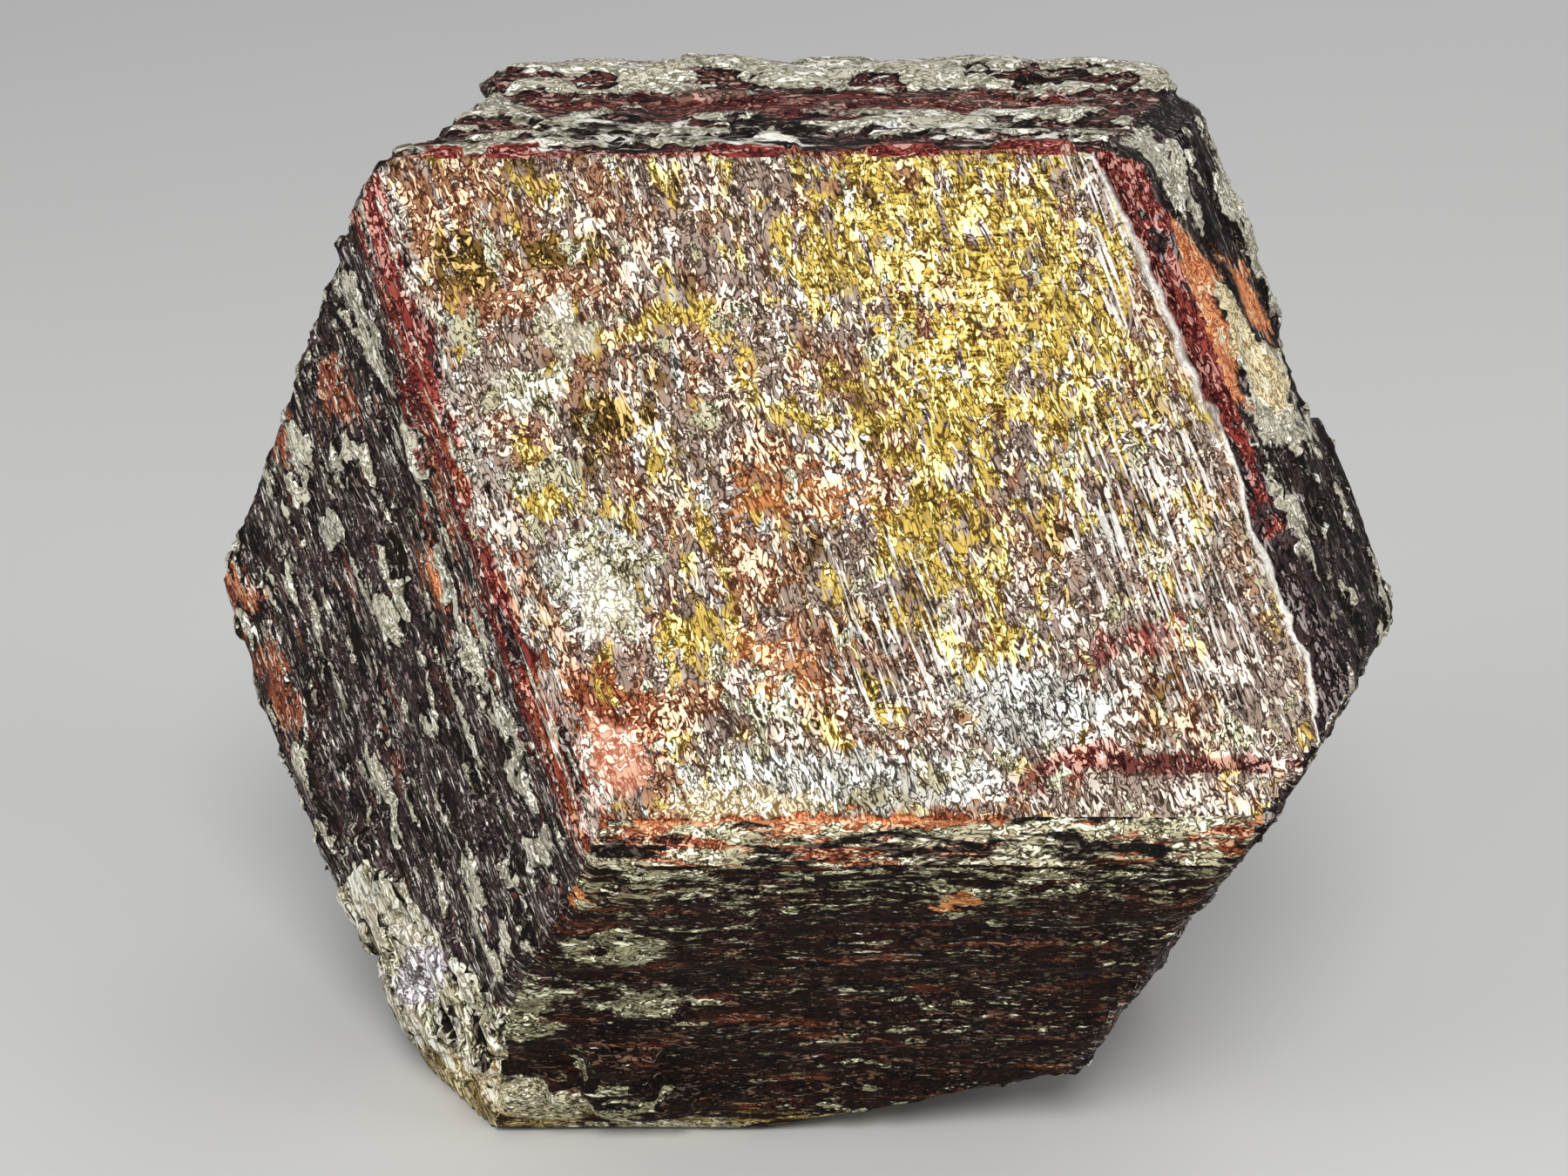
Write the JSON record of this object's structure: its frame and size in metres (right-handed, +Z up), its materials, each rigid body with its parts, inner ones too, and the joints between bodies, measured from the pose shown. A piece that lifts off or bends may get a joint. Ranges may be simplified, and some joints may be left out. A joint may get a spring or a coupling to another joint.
{
  "type": "garnet crystal",
  "caption": "Loose rhombic dodecahedral garnet crystal with worn edges, growth steps and patches of pale crust, resting on one face.",
  "frame": {"origin": "on the surface that the crystal rests on, under the middle of its bounding box", "axes": "+Z up out of the resting face, which is a crystal face; +X along a threefold axis of the crystal, to the right when the large front face is seen; -Y towards the viewer of that face"},
  "size_m": [0.0278, 0.0248, 0.0237],
  "materials": {
    "garnet": "dark maroon, opaque, with a bronze and silver sheen on the front face, red along its edges, and cream crust in the hollows"
  },
  "bodies": {
    "root": {"garnet_crystal": "garnet"}
  },
  "joints": []
}
